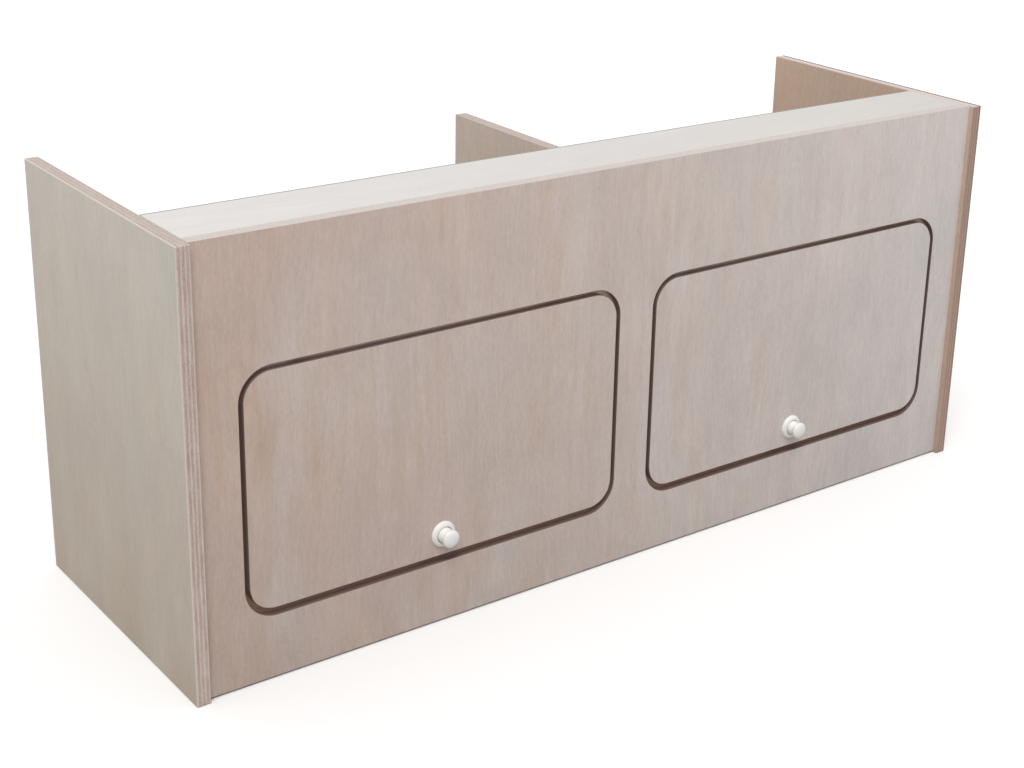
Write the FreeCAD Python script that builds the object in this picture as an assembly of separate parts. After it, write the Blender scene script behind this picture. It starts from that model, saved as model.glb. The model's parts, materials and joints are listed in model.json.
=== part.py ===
import FreeCAD, Part
import math
import os
from FreeCAD import Vector

# A plywood wall cabinet with two doors that lift up. Each door is cut flush into the front panel,
# turns on two cup hinges along its top edge and is held shut by a push-button lock at its foot.
# Sizes are in millimetres. +Z is up and the doors face -Y. The origin is the bottom centre of the
# whole cabinet's box, knobs included.

# Carcass
width = 1070.0               # over both side panels
depth = 350.0                # side panels, front edge to rear edge
height = 465.0               # side panels, foot to top
board = 15.0                 # plywood of the panels and doors
rail_board = 18.0            # thicker plywood of the top rail
panel_recess = 6.0           # front panel's face behind the side panels' front edges
panel_lift = 2.0             # undersides of front panel and floor above the side panels' feet
rail_reach = 100.0           # front panel's face to the top rail's rear edge
hanging_rail_height = 70.0
hanging_rail_drop = 130.0    # cabinet's top to the hanging rails' top
board_round = 1.2            # eased arrises of the side panels
wall_hole_diameter = 6.0     # wall screws through the hanging rails
wall_hole_spacing = 300.0    # between the two holes of one hanging rail

# Door openings in the front panel
outer_stile = 43.0           # side panel to opening
centre_stile = 46.0          # between the openings
lower_margin = 69.5          # side panels' feet to the openings' lower edge
upper_margin = 132.0         # openings' upper edge to the cabinet's top
opening_radius = 35.0
lower_corner_step = 7.0      # openings' corner radius less that of the doors' lower corners
side_gap = 5.0               # door to opening
top_gap = 5.5
bottom_gap = 8.5
cut_round = 0.7              # eased front arrises of doors and openings

# Stop laths behind the doors' lower edges and sides, four to a door, glued to the front panel
stop_thickness = 12.0
stop_foot = 20.0             # lath below the opening's lower edge
stop_lap = 20.0              # lath behind the door's lower edge; it closes the corners to the eye
stop_step = 0.5              # lath's front face behind the door's rear face
stop_end = 10.0              # lath's outer end beyond the opening, behind the stile
stop_lock_room = 26.0        # knob's axis to the lower laths' inner ends
stop_side_lap = 10.0         # upright lath behind the door's side edge
stop_joint = 0.3             # glue joint between upright and lower laths
stop_axis_room = 12.0        # upright laths' upper ends below the hinge axis

# Dowels that join the boards
dowel_diameter = 8.0
dowel_in_face = 10.0         # depth in a board's face
dowel_in_edge = 20.0         # depth in a board's edge
dowel_end_room = 1.0         # glue room at each end
fit_play = 0.05              # radial play of a piece pressed or screwed into its hole

# Hinges
hinge_inset = 75.0           # door's side edge to the middle of a hinge
cup_diameter = 35.0
cup_depth = 12.0
cup_wall = 1.2
cup_margin = 4.5             # cup to the door's top edge
flange_thickness = 1.5
flange_rim = 2.5             # rim of the flange around the cup
flange_length = 58.0
flange_height = 18.0
cup_screw_spacing = 46.0
pin_diameter = 4.0
pin_play = 0.05              # radial running play of the eye on its pin
eye_diameter = 7.0
eye_room = 0.8               # eye to the cup's floor
arm_width = 14.0
arm_thickness = 2.5
arm_room = 2.2               # arm to the door at every angle
foot_rise = 18.0             # opening's upper edge to the lower end of the arm's foot
foot_length = 34.0
foot_screw_spacing = 18.0

# Locks
lock_rise = 24.0             # door's lower edge to the knob's axis
knob_diameter = 20.0
knob_out = 19.0              # knob's face in front of the door
knob_cap = 6.5               # thickness of the knob's head
knob_dome = 1.0
knob_rim = 1.5
neck_diameter = 14.0
neck_play = 0.08             # radial running play in the rosette's guide
skirt_diameter = 17.0        # neck's wider foot, which runs in the rosette's well
skirt_land = 3.0             # straight part of the skirt
skirt_flare = 2.5            # length over which the neck widens to the skirt
skirt_sink = 0.5             # skirt's end below the rosette's top, knob out
well_gap = 0.8               # open ring between skirt and rosette
well_room = 1.0              # skirt, pushed in, to the well's floor
knob_travel = 7.5
rosette_diameter = 29.0
rosette_height = 4.0
rosette_edge = 1.2
rosette_crown = 21.0         # diameter where the rosette's crown begins
crown_bulge = 0.7            # 0.5 would be a straight slope
collar_diameter = 22.0       # rosette's collar through the door
cross_pin_diameter = 3.0
cross_pin_reach = 6.0        # door's rear face to the cross pin, knob out
pin_cover = 3.0              # stem behind the cross pin
slot_play = 0.2              # cross pin in the bolt's slanted slot
bolt_plate = 1.5             # thickness of the bolt's two cheeks
bolt_room = 1.0              # neck to cheek
bolt_land = 1.7              # metal around the slanted slot
bolt_bridge = 4.0            # height of the bridge over the neck
tongue_depth = 6.0           # bolt's tongues, front to rear
tongue_show = 0.6            # tongues below the case, bolt drawn up
case_wall = 1.5
case_room = 0.5              # bolt to case
case_side_room = 1.5         # bolt's cheeks to the case's side walls
case_rise = 13.0            # case's lower end below the knob's axis
case_rear_room = 1.0         # stem, pushed in, to the case's rear wall
ear_length = 12.0
ear_thickness = 2.0
ear_height = 12.0
strike_width = 50.0
strike_thickness = 2.0
strike_foot = 24.0           # strike plate below the opening's lower edge
strike_lap = 9.0             # lip behind the door's lower edge
strike_step = 0.4            # lip's front face behind the door's rear face
strike_screw_spacing = 28.0
bolt_play = 0.6              # lip to the bolt's tongues

# Screws
screw_diameter = 3.5
screw_length = 11.0
screw_head_diameter = 7.0
screw_head_height = 2.0
screw_head_round = 0.8
screw_cross_width = 0.9
screw_cross_length = 4.0
screw_cross_depth = 1.0
screw_end_room = 0.5

cutter_margin = 1.0          # how far a cutting shape runs past a face
near = 0.01                  # places closer than this are the same place

# Places worked out from the sizes above
X = Vector(1, 0, 0)
Y = Vector(0, 1, 0)
Z = Vector(0, 0, 1)
front_reach = max(knob_out - panel_recess, 0.0)
front_edge = (front_reach - depth) / 2
rear_edge = front_edge + depth
face = front_edge + panel_recess
back = face + board
inner = width / 2 - board
floor_top = panel_lift + board
rail_under = height - rail_board
rail_rear = face + rail_reach
hanging_top = height - hanging_rail_drop
hanging_mid = hanging_top - hanging_rail_height / 2
bay_mid = (inner + board / 2) / 2
opening_inner = centre_stile / 2
opening_outer = inner - outer_stile
opening_bottom = lower_margin
opening_top = height - upper_margin
door_bottom = opening_bottom + bottom_gap
door_top = opening_top - top_gap
door_inner = opening_inner + side_gap
door_outer = opening_outer - side_gap
door_mid = (door_inner + door_outer) / 2
door_upper_radius = max(opening_radius - (side_gap + top_gap) / 2, 1.0)
door_lower_radius = max(opening_radius - lower_corner_step, 1.0)
cup_radius = cup_diameter / 2
eye_radius = eye_diameter / 2
pin_radius = pin_diameter / 2
axis_depth = board - cup_depth + cup_wall + eye_room + eye_radius
axis_y = face + axis_depth
axis_z = door_top - cup_margin - cup_radius
hinge_places = (door_inner + hinge_inset, door_outer - hinge_inset)
lock_z = door_bottom + lock_rise
neck_radius = neck_diameter / 2
skirt_radius = skirt_diameter / 2
rosette_top = face - rosette_height
skirt_end = rosette_top + skirt_sink
well_radius = skirt_radius + well_gap
well_floor = skirt_end + knob_travel + well_room
cheek_inner = neck_radius + bolt_room
cheek_outer = cheek_inner + bolt_plate
bolt_front = back + strike_thickness + bolt_play
slot_half = cross_pin_diameter / 2 + slot_play
bolt_rear = back + cross_pin_reach + knob_travel + slot_half + bolt_land
bridge_under = lock_z + neck_radius + knob_travel + bolt_room
bridge_top = bridge_under + bolt_bridge
stem_end = back + cross_pin_reach + pin_cover
case_bottom = lock_z - case_rise
case_top = bridge_top + case_room + case_wall
case_inner_rear = max(bolt_rear + case_room, stem_end + knob_travel + case_rear_room)
case_inner_half = cheek_outer + case_side_room
case_half = case_inner_half + case_wall
bolt_waist = case_bottom + case_wall + knob_travel + case_room


def box(x, y, z):
    """A box from pairs of limits."""
    return Part.makeBox(x[1] - x[0], y[1] - y[0], z[1] - z[0], Vector(x[0], y[0], z[0]))


def rod(diameter, start, direction, length):
    return Part.makeCylinder(diameter / 2, length, start, direction)


def joined(shapes):
    """One solid from shapes that touch or overlap."""
    return shapes[0].multiFuse(shapes[1:]).removeSplitter()


def bored(shape, cutters):
    return shape.cut(Part.makeCompound(cutters))


def eased(shape, radius, chosen):
    """Rounds the edges that the test chooses."""
    return shape.makeFillet(radius, [edge for edge in shape.Edges if chosen(edge)])


def rounded_board(x, y, z, lower, upper):
    """An upright board whose outline has round corners, of one radius below and of another above."""
    cut_in = 1 - math.sqrt(0.5)
    dip, drop = lower * cut_in, upper * cut_in
    (x0, x1), (z0, z1) = x, z

    def point(px, pz):
        return Vector(px, y[0], pz)

    edges = [
        Part.makeLine(point(x0 + lower, z0), point(x1 - lower, z0)),
        Part.Arc(point(x1 - lower, z0), point(x1 - dip, z0 + dip), point(x1, z0 + lower)).toShape(),
        Part.makeLine(point(x1, z0 + lower), point(x1, z1 - upper)),
        Part.Arc(point(x1, z1 - upper), point(x1 - drop, z1 - drop), point(x1 - upper, z1)).toShape(),
        Part.makeLine(point(x1 - upper, z1), point(x0 + upper, z1)),
        Part.Arc(point(x0 + upper, z1), point(x0 + drop, z1 - drop), point(x0, z1 - upper)).toShape(),
        Part.makeLine(point(x0, z1 - upper), point(x0, z0 + lower)),
        Part.Arc(point(x0, z0 + lower), point(x0 + dip, z0 + dip), point(x0 + lower, z0)).toShape(),
    ]
    return Part.Face(Part.Wire(edges)).extrude(Y * (y[1] - y[0]))


def turned(start, steps, x, z):
    """A turned piece about an axis along Y. Points are (radius, y); a step of two points is an arc."""
    def point(radius, y):
        return Vector(x + radius, y, z)

    edges = []
    here = start
    for step in list(steps) + [(start,)]:
        end = step[-1]
        if len(step) == 2:
            edges.append(Part.Arc(point(*here), point(*step[0]), point(*end)).toShape())
        else:
            edges.append(Part.makeLine(point(*here), point(*end)))
        here = end
    return Part.Face(Part.Wire(edges)).revolve(Vector(x, 0, z), Y, 360)


def bent_strip(path, thickness, x):
    """A strip that follows (y, z) points, with round bends."""
    half = thickness / 2
    pieces = []
    for (y0, z0), (y1, z1) in zip(path, path[1:]):
        run = math.hypot(y1 - y0, z1 - z0)
        slab = box(x, (0, run), (-half, half))
        slab.rotate(Vector(0, 0, 0), X, math.degrees(math.atan2(z1 - z0, y1 - y0)))
        slab.translate(Vector(0, y0, z0))
        pieces.append(slab)
    for y, z in path[1:-1]:
        pieces.append(rod(thickness, Vector(x[0], y, z), X, x[1] - x[0]))
    return joined(pieces)


def screw(x, y, z):
    """A pan-head screw driven towards -Y, with the underside of its head at y."""
    head = rod(screw_head_diameter, Vector(x, y, z), Y, screw_head_height)
    top = y + screw_head_height

    def at_top(edge):
        return abs(edge.BoundBox.YMin - top) < near and not edge.isSeam(head.Faces[0])

    head = eased(head, screw_head_round, at_top)
    arms = []
    recess = (top - screw_cross_depth, top + cutter_margin)
    for across, along in ((screw_cross_length, screw_cross_width), (screw_cross_width, screw_cross_length)):
        arms.append(box((x - across / 2, x + across / 2), recess, (z - along / 2, z + along / 2)))
    shank = rod(screw_diameter, Vector(x, y, z), -Y, screw_length)
    return joined([head.cut(joined(arms)), shank])


def screw_hole(x, y, z):
    """The hole for such a screw, from the underside of its head to just past its point."""
    return rod(screw_diameter + 2 * fit_play, Vector(x, y, z), -Y, screw_length + screw_end_room)


def dowel(mouth, into_edge):
    """A dowel across a joint at mouth; into_edge points into the board whose edge it enters."""
    start = mouth - into_edge * (dowel_in_face - dowel_end_room)
    return rod(dowel_diameter, start, into_edge, dowel_in_face + dowel_in_edge - 2 * dowel_end_room)


def dowel_hole(mouth, into_edge):
    start = mouth - into_edge * dowel_in_face
    return rod(dowel_diameter + 2 * fit_play, start, into_edge, dowel_in_face + dowel_in_edge)


def spread(low, high, count):
    """Evenly spaced places, half a step in from both ends."""
    step = (high - low) / count
    return [low + step * (i + 0.5) for i in range(count)]


SIDES = (("left", -1), ("right", 1))


def dowel_places():
    """Joint by joint: where each dowel crosses and the direction into the board's edge."""
    panel_mid = face + board / 2
    floor_mid = panel_lift + board / 2
    rail_mid = height - rail_board / 2
    hanging_y = rear_edge - board / 2
    places = {"front_panel_dowels": [], "top_rail_dowels": [], "floor_dowels": [], "hanging_rail_dowels": []}
    for name, sign in SIDES:
        inward = X * -sign
        for z in (floor_mid + dowel_diameter * 2, height / 2, rail_under - dowel_diameter * 2):
            places["front_panel_dowels"].append((Vector(sign * inner, panel_mid, z), inward))
        for y in spread(back, rail_rear, 2):
            places["top_rail_dowels"].append((Vector(sign * inner, y, rail_mid), inward))
        for y in spread(back, rear_edge, 3):
            places["floor_dowels"].append((Vector(sign * inner, y, floor_mid), inward))
        for z in spread(hanging_top - hanging_rail_height, hanging_top, 2):
            places["hanging_rail_dowels"].append((Vector(sign * inner, hanging_y, z), inward))
    for x in spread(-inner, inner, 4):
        places["floor_dowels"].append((Vector(x, back, floor_mid), Y))
        places["top_rail_dowels"].append((Vector(x, back, rail_mid), Y))
    for y in spread(back, rear_edge, 3):
        places["floor_dowels"].append((Vector(0, y, floor_top), Z))
    for y in spread(back, rail_rear, 1):
        places["top_rail_dowels"].append((Vector(0, y, rail_under), -Z))
    for z in spread(opening_bottom, opening_top, 2):
        places["front_panel_dowels"].append((Vector(0, back, z), Y))
    return places


def carcass(nodes):
    places = dowel_places()
    holes = [dowel_hole(*place) for group in places.values() for place in group]
    for name, sign in SIDES:
        x = sorted((sign * inner, sign * width / 2))
        panel = eased(box(x, (front_edge, rear_edge), (0, height)), board_round, lambda edge: True)
        nodes[name + "_side_panel"] = bored(panel, holes)
        bay = sorted((sign * board / 2, sign * inner))
        rail = box(bay, (rear_edge - board, rear_edge), (hanging_top - hanging_rail_height, hanging_top))
        wall_holes = []
        for step in (-0.5, 0.5):
            start = Vector(sign * bay_mid + step * wall_hole_spacing, rear_edge - board, hanging_mid)
            wall_holes.append(rod(wall_hole_diameter, start, Y, board))
        nodes[name + "_hanging_rail"] = bored(rail, holes + wall_holes)
    divider = box((-board / 2, board / 2), (back, rear_edge), (floor_top, rail_under))
    nodes["centre_divider"] = bored(divider, holes)
    nodes["floor_panel"] = bored(box((-inner, inner), (back, rear_edge), (panel_lift, floor_top)), holes)
    nodes["top_rail"] = bored(box((-inner, inner), (back, rail_rear), (rail_under, height)), holes)
    front = box((-inner, inner), (face, back), (panel_lift, height))
    for name, sign in SIDES:
        x = sorted((sign * opening_inner, sign * opening_outer))
        z = (opening_bottom, opening_top)
        front = front.cut(rounded_board(x, (face, back), z, opening_radius, opening_radius))

    def at_opening(edge):
        limits = edge.BoundBox
        on_face = abs(limits.YMax - face) < near
        within_height = limits.ZMin > opening_bottom - near and limits.ZMax < opening_top + near
        within_width = limits.XMin > -opening_outer - near and limits.XMax < opening_outer + near
        return on_face and within_height and within_width

    front = eased(front, cut_round, at_opening)
    screws = [screw_hole(*place) for place in foot_screw_places() + strike_screw_places()]
    nodes["front_panel"] = bored(front, holes + screws)
    for name, group in places.items():
        nodes[name] = Part.makeCompound([dowel(*place) for place in group])


def hinge_centres(sign):
    return [sign * place for place in hinge_places]


def foot_screw_places(signs=(-1, 1)):
    mid = opening_top + foot_rise + foot_length / 2
    places = []
    for sign in signs:
        for x in hinge_centres(sign):
            for step in (-0.5, 0.5):
                places.append((x, back + arm_thickness, mid + step * foot_screw_spacing))
    return places


def cup_screw_places(sign):
    places = []
    for x in hinge_centres(sign):
        for step in (-0.5, 0.5):
            places.append((x + step * cup_screw_spacing, back + flange_thickness, axis_z))
    return places


def strike_screw_places(signs=(-1, 1)):
    z = opening_bottom - strike_foot / 2
    places = []
    for sign in signs:
        for step in (-0.5, 0.5):
            places.append((sign * door_mid + step * strike_screw_spacing, back + strike_thickness, z))
    return places


def ear_screw_places(sign):
    reach = case_half + ear_length / 2
    return [(sign * door_mid + step * reach, back + ear_thickness, lock_z) for step in (-1, 1)]


def door_panel(sign):
    x = sorted((sign * door_inner, sign * door_outer))
    z = (door_bottom, door_top)
    panel = rounded_board(x, (face, back), z, door_lower_radius, door_upper_radius)
    panel = eased(panel, cut_round, lambda edge: abs(edge.BoundBox.YMax - face) < near)
    cutters = [screw_hole(*place) for place in cup_screw_places(sign) + ear_screw_places(sign)]
    for centre in hinge_centres(sign):
        bore_start = Vector(centre, back - cup_depth, axis_z)
        cutters.append(rod(cup_diameter + 2 * fit_play, bore_start, Y, cup_depth))
    cutters.append(rod(collar_diameter + 2 * fit_play, Vector(sign * door_mid, face, lock_z), Y, board))
    return bored(panel, cutters)


def hinge_cup(x):
    """A round cup sunk in the door, with a screw flange on the door's rear face."""
    flange_rear = back + flange_thickness
    rim = rod(cup_diameter + 2 * flange_rim, Vector(x, back, axis_z), Y, flange_thickness)
    half_length = flange_length / 2
    half_height = flange_height / 2
    ear_limits = (axis_z - half_height, axis_z + half_height)
    ears = box((x - half_length, x + half_length), (back, flange_rear), ear_limits)
    body = rod(cup_diameter, Vector(x, back - cup_depth, axis_z), Y, cup_depth)
    cup_floor = back - cup_depth + cup_wall
    hollow_depth = cup_depth + flange_thickness
    hollow = rod(cup_diameter - 2 * cup_wall, Vector(x, cup_floor, axis_z), Y, hollow_depth)
    cutters = [hollow, rod(pin_diameter, Vector(x - cup_radius, axis_y, axis_z), X, cup_diameter)]
    cup = joined([rim, ears, body])
    for cutter in cutters:
        cup = cup.cut(cutter)
    holes = []
    for step in (-0.5, 0.5):
        start = Vector(x + step * cup_screw_spacing, back, axis_z)
        holes.append(rod(screw_diameter + 2 * fit_play, start, Y, flange_thickness))
    return bored(cup, holes)


def hinge_pin(x):
    length = cup_diameter - cup_wall
    return rod(pin_diameter, Vector(x - length / 2, axis_y, axis_z), X, length)


def hinge_arm(x):
    """A swan-neck arm: out of the cup, behind the door's top edge, up to a foot on the front panel."""
    half = arm_thickness / 2
    door_rear = back - axis_y
    elbow = door_rear + flange_thickness + arm_room + half
    swing = math.hypot(door_top - axis_z, max(door_rear, axis_depth))
    rear = swing + arm_room + half
    foot_y = door_rear + half
    foot_z = opening_top + foot_rise - axis_z + half
    foot_end = foot_z - half + foot_length
    path = [(0, 0), (elbow, -elbow), (rear, -elbow), (rear, foot_z), (foot_y, foot_z), (foot_y, foot_end)]
    limits = (x - arm_width / 2, x + arm_width / 2)
    strip = bent_strip([(axis_y + y, axis_z + z) for y, z in path], arm_thickness, limits)
    eye = rod(eye_diameter, Vector(limits[0], axis_y, axis_z), X, arm_width)
    bore = rod(pin_diameter + 2 * pin_play, Vector(limits[0], axis_y, axis_z), X, arm_width)
    mid = opening_top + foot_rise + foot_length / 2
    holes = []
    for step in (-0.5, 0.5):
        start = Vector(x, back, mid + step * foot_screw_spacing)
        holes.append(rod(screw_diameter + 2 * fit_play, start, Y, arm_thickness))
    return bored(joined([strip, eye]), [bore] + holes)


def lock_rosette(x):
    """A domed ring on the door's face, with a collar through the door that guides the knob's neck."""
    guide = neck_radius + neck_play
    outer = rosette_diameter / 2
    crown = rosette_crown / 2
    collar = collar_diameter / 2
    edge = face - rosette_edge
    shoulder = (crown + crown_bulge * (outer - crown), edge + crown_bulge * (rosette_top - edge))
    steps = [((collar, back),), ((collar, face),), ((outer, face),), ((outer, edge),),
             (shoulder, (crown, rosette_top)), ((well_radius, rosette_top),), ((well_radius, well_floor),),
             ((guide, well_floor),)]
    return turned((guide, back), steps, x, lock_z)


def lock_knob(x):
    """A knob with a domed face, a hollow throat, a skirt and a neck that runs back into the lock's case."""
    radius = knob_diameter / 2
    tip = face - knob_out
    flare = radius - neck_radius
    throat = tip + knob_cap
    bend = 1 - math.sqrt(0.5)
    rim_start = (radius - knob_rim, tip + knob_dome)
    rim_mid = (radius - bend * knob_rim, tip + knob_dome + bend * knob_rim)
    rim_end = (radius, tip + knob_dome + knob_rim)
    flare_start = (radius, throat - flare)
    flare_mid = (radius - flare * math.sqrt(0.5), throat - flare * math.sqrt(0.5))
    skirt_start = (neck_radius, skirt_end - skirt_land - skirt_flare)
    skirt_mid = (neck_radius + (skirt_radius - neck_radius) * bend,
                 skirt_end - skirt_land - skirt_flare * bend)
    skirt_rim = (skirt_radius, skirt_end - skirt_land)
    steps = [((rim_start[0] / 2, tip + knob_dome / 4), rim_start), (rim_mid, rim_end), (flare_start,),
             (flare_mid, (neck_radius, throat)), (skirt_start,), (skirt_mid, skirt_rim),
             ((skirt_radius, skirt_end),), ((neck_radius, skirt_end),),
             ((neck_radius, stem_end),), ((0, stem_end),)]
    knob = turned((0, tip), steps, x, lock_z)
    start = Vector(x - neck_radius - cutter_margin, back + cross_pin_reach, lock_z)
    hole = rod(cross_pin_diameter, start, X, neck_diameter + 2 * cutter_margin)
    return knob.cut(hole)


def lock_cross_pin(x):
    half = cheek_outer + case_room
    return rod(cross_pin_diameter, Vector(x - half, back + cross_pin_reach, lock_z), X, 2 * half)


def lock_bolt(x):
    """Two cheeks beside the neck, joined by a bridge. Their slanted slots turn a push into a drop."""
    bridge = box((x - cheek_outer, x + cheek_outer), (bolt_front, bolt_rear), (bridge_under, bridge_top))
    pieces = [bridge]
    for sign in (-1, 1):
        limits = sorted((x + sign * cheek_inner, x + sign * cheek_outer))
        pieces.append(box(limits, (bolt_front, bolt_rear), (bolt_waist, bridge_top)))
        tongue_bottom = case_bottom - tongue_show
        pieces.append(box(limits, (bolt_front, bolt_front + tongue_depth), (tongue_bottom, bridge_top)))
    y0 = back + cross_pin_reach
    path = [(y0, lock_z), (y0 + knob_travel, lock_z + knob_travel)]
    limits = (x - cheek_outer - cutter_margin, x + cheek_outer + cutter_margin)
    ends = [rod(2 * slot_half, Vector(limits[0], y, z), X, limits[1] - limits[0]) for y, z in path]
    slot = joined([bent_strip(path, 2 * slot_half, limits)] + ends)
    return joined(pieces).cut(slot)


def lock_case(x):
    """A box on the door's rear face, open towards the door, with two slots for the bolt's tongues."""
    rear = case_inner_rear + case_wall
    shell = box((x - case_half, x + case_half), (back, rear), (case_bottom, case_top))
    reach = case_half + ear_length
    ear_limits = (lock_z - ear_height / 2, lock_z + ear_height / 2)
    ears = box((x - reach, x + reach), (back, back + ear_thickness), ear_limits)
    hollow = box((x - case_inner_half, x + case_inner_half), (back, case_inner_rear),
                 (case_bottom + case_wall, case_top - case_wall))
    case = joined([shell, ears]).cut(hollow)
    for sign in (-1, 1):
        limits = sorted((x + sign * (cheek_inner - case_room), x + sign * (cheek_outer + case_room)))
        slot = box(limits, (bolt_front - case_room, bolt_front + tongue_depth + case_room),
                   (case_bottom - cutter_margin, case_bottom + 2 * case_wall))
        case = case.cut(slot)
    holes = []
    for step in (-1, 1):
        start = Vector(x + step * (case_half + ear_length / 2), back, lock_z)
        holes.append(rod(screw_diameter + 2 * fit_play, start, Y, ear_thickness))
    return bored(case, holes)


def strike_plate(x):
    """A plate under the opening, whose lip stops the door and catches the bolt's tongues."""
    limits = (x - strike_width / 2, x + strike_width / 2)
    lip_top = door_bottom + strike_lap
    foot = box(limits, (back, back + strike_thickness), (opening_bottom - strike_foot, opening_bottom))
    lip = box(limits, (back + strike_step, back + strike_thickness), (opening_bottom, lip_top))
    z = opening_bottom - strike_foot / 2
    holes = []
    for step in (-0.5, 0.5):
        start = Vector(x + step * strike_screw_spacing, back, z)
        holes.append(rod(screw_diameter + 2 * fit_play, start, Y, strike_thickness))
    return bored(joined([foot, lip]), holes)


def stop_laths(sign):
    """Laths that the door shuts against: two along its lower edge, with the strike plate between them,
    and one along each of its sides, up to below the hinges."""
    ends = (opening_inner - stop_end, opening_outer + stop_end)
    lock_ends = (door_mid - stop_lock_room, door_mid + stop_lock_room)
    opening_edges = (opening_inner, opening_outer)
    laps = (door_inner + stop_side_lap, door_outer - stop_side_lap)
    rear = back + stop_thickness
    lip_front = back + stop_step
    lower_top = door_bottom + stop_lap
    upright = (lower_top + stop_joint, axis_z - stop_axis_room)
    laths = []
    for end, lock_end, edge, lap in zip(ends, lock_ends, opening_edges, laps):
        run = sorted((sign * end, sign * lock_end))
        foot = box(run, (back, rear), (opening_bottom - stop_foot, opening_bottom))
        lip = box(run, (lip_front, rear), (opening_bottom, lower_top))
        laths.append(joined([foot, lip]))
        side_foot = box(sorted((sign * end, sign * edge)), (back, rear), upright)
        side_lip = box(sorted((sign * edge, sign * lap)), (lip_front, rear), upright)
        laths.append(joined([side_foot, side_lip]))
    return Part.makeCompound(laths)


def screw_group(places):
    return Part.makeCompound([screw(*place) for place in places])


def door_and_fittings(nodes, name, sign):
    """One door with its hinges and lock, and what they meet on the front panel."""
    x = sign * door_mid
    nodes[name + "_door_panel"] = door_panel(sign)
    for place, centre in zip(("inner", "outer"), hinge_centres(sign)):
        hinge = name + "_" + place + "_hinge"
        nodes[hinge + "_cup"] = hinge_cup(centre)
        nodes[hinge + "_pin"] = hinge_pin(centre)
        nodes[hinge + "_arm"] = hinge_arm(centre)
    nodes[name + "_hinge_cup_screws"] = screw_group(cup_screw_places(sign))
    nodes[name + "_hinge_arm_screws"] = screw_group(foot_screw_places((sign,)))
    nodes[name + "_lock_rosette"] = lock_rosette(x)
    nodes[name + "_lock_knob"] = lock_knob(x)
    nodes[name + "_lock_cross_pin"] = lock_cross_pin(x)
    nodes[name + "_lock_bolt"] = lock_bolt(x)
    nodes[name + "_lock_case"] = lock_case(x)
    nodes[name + "_lock_case_screws"] = screw_group(ear_screw_places(sign))
    nodes[name + "_stop_laths"] = stop_laths(sign)
    nodes[name + "_strike_plate"] = strike_plate(x)
    nodes[name + "_strike_screws"] = screw_group(strike_screw_places((sign,)))


def main():
    nodes = {}
    carcass(nodes)
    for name, sign in SIDES:
        door_and_fittings(nodes, name, sign)
    os.makedirs("parts", exist_ok=True)
    for name, shape in nodes.items():
        shape.exportStep("parts/" + name + ".step")
        print(name, len(shape.Solids), shape.isValid(), round(shape.Volume))
    print("hinge axis y", round(axis_y, 3), "z", round(axis_z, 3))
    print("lock x", round(door_mid, 3), "z", round(lock_z, 3))


main()
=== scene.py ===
"""Looks of the plywood wall cabinet: whitewashed boards, moulded locks, pressed hinges, studio light."""
import bpy
import json
import math
from mathutils import Matrix, Vector

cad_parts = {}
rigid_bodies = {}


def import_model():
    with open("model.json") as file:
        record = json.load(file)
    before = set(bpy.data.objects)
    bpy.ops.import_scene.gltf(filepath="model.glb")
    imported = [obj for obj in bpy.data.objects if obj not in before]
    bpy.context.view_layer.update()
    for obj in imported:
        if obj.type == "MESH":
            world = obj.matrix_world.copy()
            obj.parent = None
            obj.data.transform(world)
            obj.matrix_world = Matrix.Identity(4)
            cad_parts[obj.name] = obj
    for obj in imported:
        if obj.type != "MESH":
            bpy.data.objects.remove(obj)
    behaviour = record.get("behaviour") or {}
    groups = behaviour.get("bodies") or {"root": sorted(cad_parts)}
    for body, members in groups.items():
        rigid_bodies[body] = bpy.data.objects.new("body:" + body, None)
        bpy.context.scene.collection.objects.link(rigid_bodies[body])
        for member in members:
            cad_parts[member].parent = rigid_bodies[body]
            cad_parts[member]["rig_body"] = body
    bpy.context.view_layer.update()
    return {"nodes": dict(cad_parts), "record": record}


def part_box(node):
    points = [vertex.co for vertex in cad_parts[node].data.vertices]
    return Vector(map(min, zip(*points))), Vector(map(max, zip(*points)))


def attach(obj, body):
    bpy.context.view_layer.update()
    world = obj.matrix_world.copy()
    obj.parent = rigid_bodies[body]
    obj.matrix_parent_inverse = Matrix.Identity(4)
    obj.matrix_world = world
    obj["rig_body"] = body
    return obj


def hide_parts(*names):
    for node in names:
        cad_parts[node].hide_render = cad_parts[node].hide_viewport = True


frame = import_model()
nodes = frame["nodes"]
scene = bpy.context.scene
slot_of = {subpart["node"]: subpart["material_slot"] for subpart in frame["record"]["subparts"]}
SIDES = ("left", "right")
MM = 0.001


# Colour and node helpers

def linear(code):
    """An sRGB hex code as linear light."""
    parts = [int(code[i:i + 2], 16) / 255 for i in (0, 2, 4)]
    return tuple(c / 12.92 if c <= 0.04045 else ((c + 0.055) / 1.055) ** 2.4 for c in parts) + (1.0,)


def per_metre(sizes):
    """How many marks of these sizes in millimetres fit in a metre."""
    return [1 / (size * MM) for size in sizes]


def add(tree, kind, inputs=None, stops=None, **settings):
    """Adds a shader node. Inputs are values or other nodes' outputs; stops are a colour ramp's places."""
    node = tree.nodes.new(kind)
    for name, value in settings.items():
        setattr(node, name, value)
    if stops:
        ramp = node.color_ramp
        while len(ramp.elements) < len(stops):
            ramp.elements.new(1.0)
        for element, (place, colour) in zip(ramp.elements, stops):
            element.position = place
            element.color = colour
    for key, value in (inputs or {}).items():
        if isinstance(value, bpy.types.NodeSocket):
            tree.links.new(value, node.inputs[key])
        else:
            node.inputs[key].default_value = value
    return node


def new_material(name):
    """A material with an empty node tree."""
    material = bpy.data.materials.new(name)
    material.use_nodes = True
    material.node_tree.nodes.clear()
    return material, material.node_tree


def wear(piece, material):
    """Gives a piece one material in all its slots."""
    piece.data.materials.clear()
    piece.data.materials.append(material)


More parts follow.
